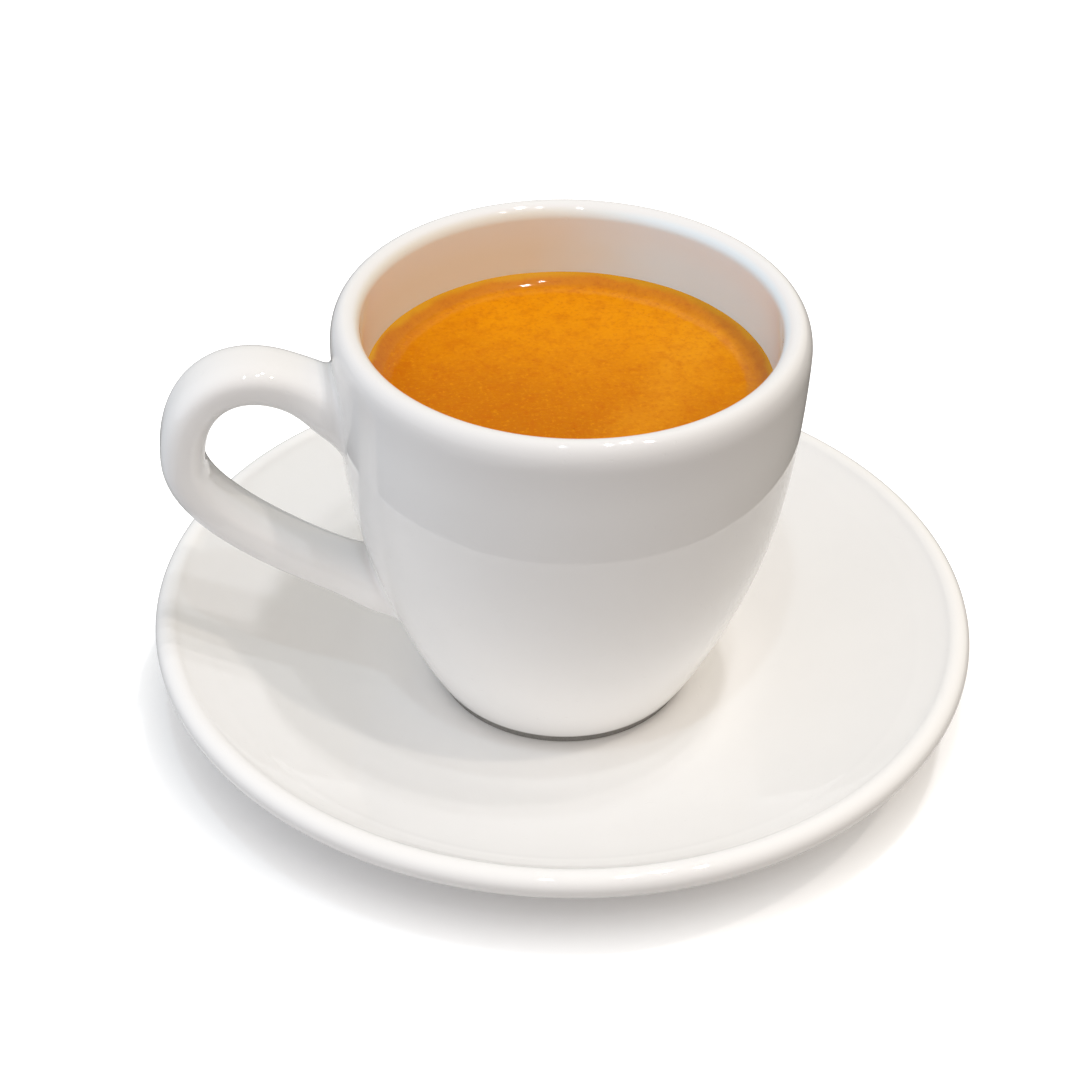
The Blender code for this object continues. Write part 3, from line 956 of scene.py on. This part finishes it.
# A pale stroke that the pour left, across the unit vector (0.865, -0.501)
STROKE_ACROSS = (0.865, -0.501)
STROKE_WIDTH = 7.0 * MM
STROKE_SCALE = 80.0
STROKE_WANDER = 9.0 * MM
STROKE_OFFSET = 12.0 * MM + STROKE_WANDER / 2
STROKE_MOST = 0.42
POUR_NEAR = 3.0 * MM
POUR_FAR = 41.0 * MM
POUR_SLANT = 0.35
CLOUD_SCALE = 60.0
CLOUD_DRIFT = 30.0 * MM
MOTTLE_SCALE = 420.0
MOTTLE_LIMITS = (0.44, 0.70)
MOTTLE_MOST = 0.40
MOTTLE_WEIGHT = 1.2
GRAIN_SCALE = 1500.0
DARK_LIMITS = (0.50, 0.74)
DARK_MOST = 0.55
PALE_LIMITS = (0.48, 0.28)
PALE_MOST = 0.45
FROTH_SCALE = 3200.0
SPECK_SCALE = 1100.0
SPECK_LIMITS = (0.80, 0.86)
SPECK_MOST = 0.7
WET_START = 4.2 * MM
WET_END = 3.4 * MM
WET_MOST = 0.75
CREMA_RELIEF = 0.02 * MM
# Plain values of the shader: rough foam with little gloss of its own, and a thin wet coat
CREMA_VALUES = {
    "Roughness": 0.34,
    "Specular IOR Level": 0.1,
    "IOR": 1.34,
    "Coat IOR": 1.34,
    "Coat Roughness": 0.04,
}


def crema():
    """Orange foam, paler at the back where it was poured, and a film and a ring of painted shade beside the
    wall.
    """
    material, tree, shader, coordinates = new_material("crema")
    radius, place = from_axis(tree, coordinates)
    ragged = noise(tree, coordinates, EDGE_SCALE, 4.0)
    wall = maths(tree, "MULTIPLY_ADD", ragged, RAGGED, edge_radius - RAGGED / 2)
    away = maths(tree, "SUBTRACT", wall, radius)
    cloud = noise(tree, coordinates, CLOUD_SCALE, 3.0)
    drift = maths(tree, "MULTIPLY_ADD", cloud, CLOUD_DRIFT, place["Y"])
    drift = maths(tree, "MULTIPLY_ADD", place["X"], POUR_SLANT, drift)
    poured = remap(tree, drift, POUR_NEAR, POUR_FAR, 0.0, 1.0)
    colour = blend(tree, poured, CREMA_DEEP, CREMA_LIGHT)
    wander = noise(tree, coordinates, STROKE_SCALE, 3.0)
    crossing = maths(tree, "MULTIPLY_ADD", wander, STROKE_WANDER, -STROKE_OFFSET)
    crossing = maths(tree, "MULTIPLY_ADD", place["X"], STROKE_ACROSS[0], crossing)
    crossing = maths(tree, "MULTIPLY_ADD", place["Y"], STROKE_ACROSS[1], crossing)
    stroke = remap(tree, maths(tree, "ABSOLUTE", crossing), STROKE_WIDTH, 0.0, 0.0, STROKE_MOST)
    colour = blend(tree, stroke, colour, CREMA_STROKE)
    mottle = noise(tree, coordinates, MOTTLE_SCALE, 5.0, 0.65)
    grain = noise(tree, coordinates, GRAIN_SCALE, 4.0, 0.7)
    froth = noise(tree, coordinates, FROTH_SCALE, 1.0)
    colour = blend(tree, remap(tree, mottle, *MOTTLE_LIMITS, 0.0, MOTTLE_MOST), colour, CREMA_GRAIN)
    colour = blend(tree, remap(tree, grain, *DARK_LIMITS, 0.0, DARK_MOST), colour, CREMA_GRAIN)
    colour = blend(tree, remap(tree, grain, *PALE_LIMITS, 0.0, PALE_MOST), colour, CREMA_PALE)
    # The darker ring near the wall is painted shade of the steep meniscus
    ring = remap(tree, away, RING_WIDTH, RING_MIDDLE, 0.0, RING_SHADE_MOST)
    colour = blend(tree, ring, colour, CREMA_RING_SHADE)
    film = remap(tree, away, FILM_WIDTH, FILM_WIDTH / 4, 0.0, FILM_MOST)
    colour = blend(tree, film, colour, CREMA_FILM)
    speck = remap(tree, noise(tree, coordinates, SPECK_SCALE, 1.0), *SPECK_LIMITS, 0.0, SPECK_MOST)
    colour = blend(tree, speck, colour, CREMA_SPECK)
    tree.links.new(colour, shader.inputs["Base Color"])
    tree.links.new(remap(tree, away, WET_START, WET_END, 0.0, WET_MOST), shader.inputs["Coat Weight"])
    height = maths(tree, "MULTIPLY_ADD", mottle, MOTTLE_WEIGHT, maths(tree, "ADD", grain, froth))
    tree.links.new(bump(tree, height, CREMA_RELIEF), shader.inputs["Normal"])
    for key, value in CREMA_VALUES.items():
        shader.inputs[key].default_value = value
    return material


espresso.data.materials.append(crema())
print("crema film", round(FILM_WIDTH / MM, 2), "mm wide, ring out to", round(RING_WIDTH / MM, 2), "mm")

# %% [markdown]
# ## Each piece to its place
# A piece that stands for an imported solid hides that solid and rides on the part's one body.

# %% Attach the pieces
for piece, node, slot in (
    (cup, "cup", "cup_porcelain"),
    (saucer, "saucer", "saucer_porcelain"),
    (espresso, "espresso", "coffee"),
):
    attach(piece, "root")
    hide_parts(node)

# %% [markdown]
# ## Floor and light
# The floor is plain and pale. To the camera it is softly lit white paper. To the glaze it is white
# only near the saucer, where it lights the underside of the lip, and a greyer table farther out:
# that is what draws the saucer's bright reflection on the lower half of the cup.

# %% Floor
FLOOR_SIZE = 3.0
PAPER_WHITE = (0.85, 0.85, 0.85, 1.0)
GLOW_MIDDLE = (1.0 * MM, 6.0 * MM)
GLOW_START = 50.0 * MM
GLOW_END = 66.5 * MM
GLOW_LOW = 0.05
GLOW_HIGH = 0.65
GLOW_SQUEEZE = 0.9
TABLE_GREY = (0.145, 0.14, 0.135, 1.0)
NEAR_START = 76.0 * MM
NEAR_END = 71.0 * MM
TABLE_LIT = (0.46, 0.48, 0.51, 1.0)
LIT_START = -60.0 * MM
LIT_END = -115.0 * MM


def floor_material():
    """White to the camera, and to other rays a grey table that is pale near the saucer and far left.

    The white glows a little, less under the saucer, so that its shadow fades out at the edge.
    """
    material = bpy.data.materials.new("floor_paper")
    material.use_nodes = True
    tree = material.node_tree
    tree.nodes.remove(tree.nodes["Principled BSDF"])
    coordinates = tree.nodes.new("ShaderNodeTexCoord").outputs["Object"]
    paper, table = tree.nodes.new("ShaderNodeBsdfDiffuse"), tree.nodes.new("ShaderNodeBsdfDiffuse")
    paper.inputs["Color"].default_value = PAPER_WHITE
    radius, place = from_axis(tree, coordinates)
    far = blend(tree, remap(tree, place["X"], LIT_START, LIT_END, 0.0, 1.0), TABLE_GREY, TABLE_LIT)
    near = remap(tree, radius, NEAR_START, NEAR_END, 0.0, 1.0)
    tree.links.new(blend(tree, near, far, PAPER_WHITE), table.inputs["Color"])
    glow = tree.nodes.new("ShaderNodeEmission")
    squeezed = tree.nodes.new("ShaderNodeVectorMath")
    squeezed.operation = "MULTIPLY"
    squeezed.inputs[1].default_value = (GLOW_SQUEEZE, 1.0, 1.0)
    tree.links.new(coordinates, squeezed.inputs[0])
    away = from_axis(tree, squeezed.outputs["Vector"], GLOW_MIDDLE)[0]
    tree.links.new(remap(tree, away, GLOW_START, GLOW_END, GLOW_LOW, GLOW_HIGH), glow.inputs["Strength"])
    seen = tree.nodes.new("ShaderNodeAddShader")
    tree.links.new(paper.outputs["BSDF"], seen.inputs[0])
    tree.links.new(glow.outputs["Emission"], seen.inputs[1])
    path = tree.nodes.new("ShaderNodeLightPath")
    mix = tree.nodes.new("ShaderNodeMixShader")
    tree.links.new(path.outputs["Is Camera Ray"], mix.inputs["Fac"])
    tree.links.new(table.outputs["BSDF"], mix.inputs[1])
    tree.links.new(seen.outputs["Shader"], mix.inputs[2])
    tree.links.new(mix.outputs["Shader"], tree.nodes["Material Output"].inputs["Surface"])
    return material


half = FLOOR_SIZE / 2
corners = [(-half, -half, 0.0), (half, -half, 0.0), (half, half, 0.0), (-half, half, 0.0)]
floor_mesh = bpy.data.meshes.new("floor")
floor_mesh.from_pydata(corners, [], [(0, 1, 2, 3)])
floor = bpy.data.objects.new("floor", floor_mesh)
bpy.context.scene.collection.objects.link(floor)
floor.data.materials.append(floor_material())

# %% [markdown]
# ## Lamps
# Five small lamps hang over the table, most of them in front and to the right. Where their shadows
# of cup and handle overlap, the saucer shows darker bands. Each lamp's place was found by matching
# the edges of those bands.

# %% Lamps
LAMP_DISTANCE = 1.2
LAMP_DIAMETER = 0.045
# Each lamp: tilt from straight up and azimuth in degrees, then the light that it adds to white paper
LAMPS = {
    "lamp_middle": (12.0, -5.0, (0.084, 0.081, 0.082)),
    "lamp_back": (12.0, 13.0, (0.066, 0.067, 0.069)),
    "lamp_near": (12.0, -50.0, (0.066, 0.070, 0.074)),
    "lamp_right": (25.5, -41.0, (0.105, 0.095, 0.086)),
    "lamp_front": (19.5, -104.0, (0.044, 0.055, 0.064)),
}


def add_lamp(name, tilt, azimuth, share):
    """A disc lamp that looks at the cup, strong enough to add its share, a colour, to paper's light.

    A disc of radius R with radiance B at distance D lights paper by B pi R^2 / (pi D^2) times the
    cosine, and Blender's power is B pi times the disc's area.
    """
    tilt, azimuth = math.radians(tilt), math.radians(azimuth)
    flat = math.sin(tilt)
    towards = np.array([flat * math.cos(azimuth), flat * math.sin(azimuth), math.cos(tilt)])
    lamp = bpy.data.lights.new(name, "AREA")
    lamp.shape = "DISK"
    lamp.size = LAMP_DIAMETER
    lamp.energy = max(share) * math.pi**2 * LAMP_DISTANCE**2 / math.cos(tilt)
    lamp.color = [part / max(share) for part in share]
    holder = bpy.data.objects.new(name, lamp)
    bpy.context.scene.collection.objects.link(holder)
    backwards = np.array([0.0, 0.0, 1.0])
    side = np.cross(backwards, towards)
    side /= np.linalg.norm(side)
    up = np.cross(towards, side)
    matrix = np.eye(4)
    matrix[:3, 0], matrix[:3, 1], matrix[:3, 2] = side, up, towards
    matrix[:3, 3] = towards * LAMP_DISTANCE
    holder.matrix_world = Matrix(matrix.tolist())


for lamp_name, settings in LAMPS.items():
    add_lamp(lamp_name, *settings)
print(len(LAMPS), "lamps", LAMP_DISTANCE, "m away")

# %% [markdown]
# ## Surround
# The rest of the light comes from the room: an even part, and broad soft sides. The brightest side
# is in front on the left, and it is a little cool. The right is warmer.

# %% Surround
SURROUND_EVEN = (0.403, 0.366, 0.337)
# Each side: azimuth and elevation in degrees, how narrow it is, and the light at its middle
SURROUND_SIDES = {
    "left_front": (-150.0, 20.0, 2.0, (0.534, 0.609, 0.707)),
    "left_back": (150.0, 20.0, 2.0, (0.158, 0.200, 0.250)),
    "right_back": (30.0, 20.0, 2.0, (0.267, 0.253, 0.192)),
    "back": (90.0, 20.0, 2.0, (0.053, 0.066, 0.063)),
    "front": (-90.0, 20.0, 2.0, (0.102, 0.043, 0.016)),
    "high_front": (-90.0, 52.0, 4.0, (0.175, 0.154, 0.115)),
    "high_right": (0.0, 52.0, 4.0, (0.265, 0.256, 0.228)),
    "high_left": (180.0, 52.0, 4.0, (0.086, 0.106, 0.110)),
}


def scaled(tree, colour, factor):
    """A colour times a number from a socket, as a vector."""
    node = tree.nodes.new("ShaderNodeVectorMath")
    node.operation = "SCALE"
    node.inputs[0].default_value = colour
    tree.links.new(factor, node.inputs["Scale"])
    return node.outputs["Vector"]


def side_light(tree, direction, azimuth, elevation, narrowness, colour):
    """One soft side of the room: colour * max(0, direction . middle)^narrowness."""
    azimuth, elevation = math.radians(azimuth), math.radians(elevation)
    flat = math.cos(elevation)
    middle = Vector((math.cos(azimuth) * flat, math.sin(azimuth) * flat, math.sin(elevation)))
    dot = tree.nodes.new("ShaderNodeVectorMath")
    dot.operation = "DOT_PRODUCT"
    dot.inputs[1].default_value = middle
    tree.links.new(direction, dot.inputs[0])
    facing = maths(tree, "MAXIMUM", dot.outputs["Value"], 0.0)
    return scaled(tree, colour, maths(tree, "POWER", facing, narrowness))


def surround():
    """A world whose light is the even part plus all sides."""
    world = bpy.data.worlds.new("surround")
    world.use_nodes = True
    tree = world.node_tree
    direction = tree.nodes.new("ShaderNodeTexCoord").outputs["Generated"]
    total = None
    for settings in SURROUND_SIDES.values():
        add = tree.nodes.new("ShaderNodeVectorMath")
        add.operation = "ADD"
        tree.links.new(side_light(tree, direction, *settings), add.inputs[0])
        if total is None:
            add.inputs[1].default_value = SURROUND_EVEN
        else:
            tree.links.new(total, add.inputs[1])
        total = add.outputs["Vector"]
    tree.links.new(total, tree.nodes["Background"].inputs["Color"])
    return world


bpy.context.scene.world = surround()
print("surround of", len(SURROUND_SIDES), "sides")
bpy.context.scene.view_settings.view_transform = "Standard"

# %% [markdown]
# ## Camera
# The photograph looks down at the cup by about 37 degrees from some 37 cm away. The numbers below
# come from fitting circles of the cup and saucer to their outlines in the picture. The lens is a
# long one, so the sides of the cup stay almost parallel.

# %% Place the camera
CAMERA_BACK = 0.2809
CAMERA_HEIGHT = 0.2403
CAMERA_YAW = math.radians(-0.737)
CAMERA_TILT = math.radians(37.05)
CAMERA_ROLL = math.radians(1.38)
CAMERA_TURN = math.radians(-10.0)
CAMERA_LENS = 80.5
SENSOR_WIDTH = 36.0
CAMERA_NEAR = 10.0 * MM


def camera_matrix():
    """Columns right, up, backwards and place, turned about Z from a camera that looks along +Y."""
    forward = np.array(
        [
            math.sin(CAMERA_YAW) * math.cos(CAMERA_TILT),
            math.cos(CAMERA_YAW) * math.cos(CAMERA_TILT),
            -math.sin(CAMERA_TILT),
        ]
    )
    level = np.array([math.cos(CAMERA_YAW), -math.sin(CAMERA_YAW), 0.0])
    upright = np.cross(level, forward)
    right = math.cos(CAMERA_ROLL) * level + math.sin(CAMERA_ROLL) * upright
    up = -math.sin(CAMERA_ROLL) * level + math.cos(CAMERA_ROLL) * upright
    turn = np.array(Matrix.Rotation(CAMERA_TURN, 3, "Z"))
    matrix = np.eye(4)
    matrix[:3, :3] = turn @ np.stack([right, up, -forward], axis=1)
    matrix[:3, 3] = turn @ np.array([0.0, -CAMERA_BACK, CAMERA_HEIGHT])
    return Matrix(matrix.tolist())


lens = bpy.data.cameras.new("camera")
lens.lens = CAMERA_LENS
lens.sensor_width = SENSOR_WIDTH
lens.sensor_fit = "HORIZONTAL"
lens.clip_start = CAMERA_NEAR
camera = bpy.data.objects.new("camera", lens)
bpy.context.scene.collection.objects.link(camera)
camera.matrix_world = camera_matrix()
bpy.context.scene.camera = camera
print("camera", round(math.hypot(CAMERA_BACK, CAMERA_HEIGHT), 3), "m away, lens", CAMERA_LENS, "mm")
